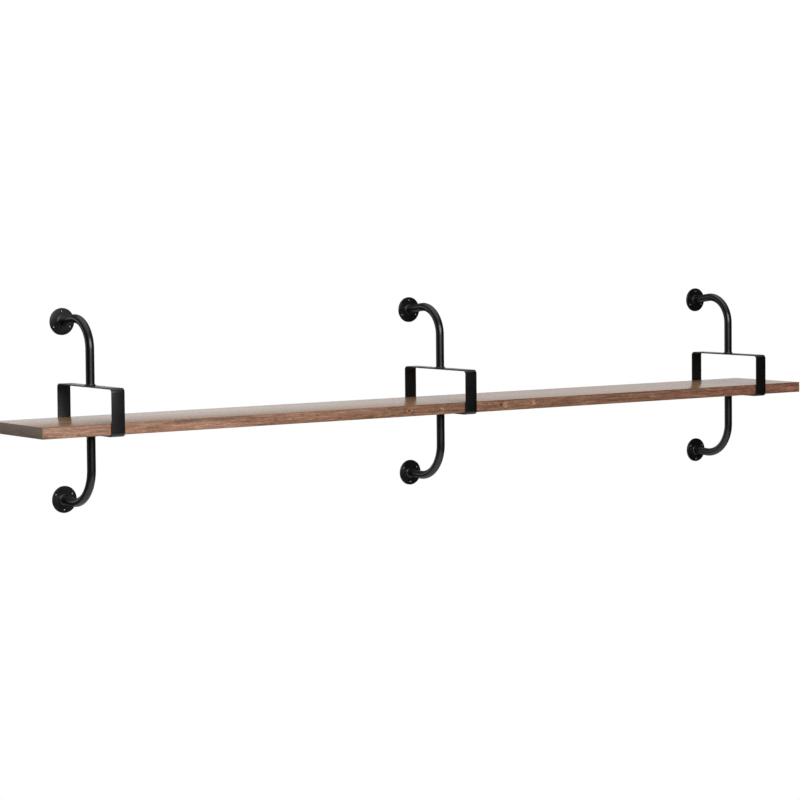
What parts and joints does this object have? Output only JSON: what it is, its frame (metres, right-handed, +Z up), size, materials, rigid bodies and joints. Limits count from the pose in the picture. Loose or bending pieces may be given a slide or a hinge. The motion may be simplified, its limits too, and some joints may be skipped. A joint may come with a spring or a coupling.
{
  "type": "wall shelf with brackets",
  "caption": "Long veneered board held to a wall by black bent-tube brackets, each with a rectangular strap loop that the board passes through.",
  "frame": {"origin": "centre of the back face of the middle bracket's upper wall flange, on the wall face", "axes": "+X along the shelf from left to right as seen from the room, +Y into the wall, +Z up"},
  "size_m": [2.4, 0.2755, 0.499],
  "materials": {
    "metal_black": "black powder coat, fine texture, low sheen",
    "screw_black": "black oxide, satin",
    "wood_walnut": "walnut veneer, satin lacquer",
    "wood_core": "raw board core, unfinished"
  },
  "bodies": {
    "root": {"board_left_end_band": "wood_walnut", "board_right_end_band": "wood_walnut", "board_front_edge_band": "wood_walnut", "board_back_edge_band": "wood_walnut", "board_top_veneer": "wood_walnut", "board_bottom_veneer": "wood_walnut", "board_core": "wood_core", "left_upper_flange": "metal_black", "left_upper_tube": "metal_black", "left_upper_flange_weld": "metal_black", "left_lower_flange": "metal_black", "left_lower_tube": "metal_black", "left_lower_flange_weld": "metal_black", "left_strap_loop": "metal_black", "left_loop_top_weld": "metal_black", "left_loop_bottom_weld": "metal_black", "left_board_screw_front": "screw_black", "left_board_screw_back": "screw_black", "middle_upper_flange": "metal_black", "middle_upper_tube": "metal_black", "middle_upper_flange_weld": "metal_black", "middle_lower_flange": "metal_black", "middle_lower_tube": "metal_black", "middle_lower_flange_weld": "metal_black", "middle_strap_loop": "metal_black", "middle_loop_top_weld": "metal_black", "middle_loop_bottom_weld": "metal_black", "middle_board_screw_front": "screw_black", "middle_board_screw_back": "screw_black", "right_upper_flange": "metal_black", "right_upper_tube": "metal_black", "right_upper_flange_weld": "metal_black", "right_lower_flange": "metal_black", "right_lower_tube": "metal_black", "right_lower_flange_weld": "metal_black", "right_strap_loop": "metal_black", "right_loop_top_weld": "metal_black", "right_loop_bottom_weld": "metal_black", "right_board_screw_front": "screw_black", "right_board_screw_back": "screw_black"}
  },
  "joints": []
}
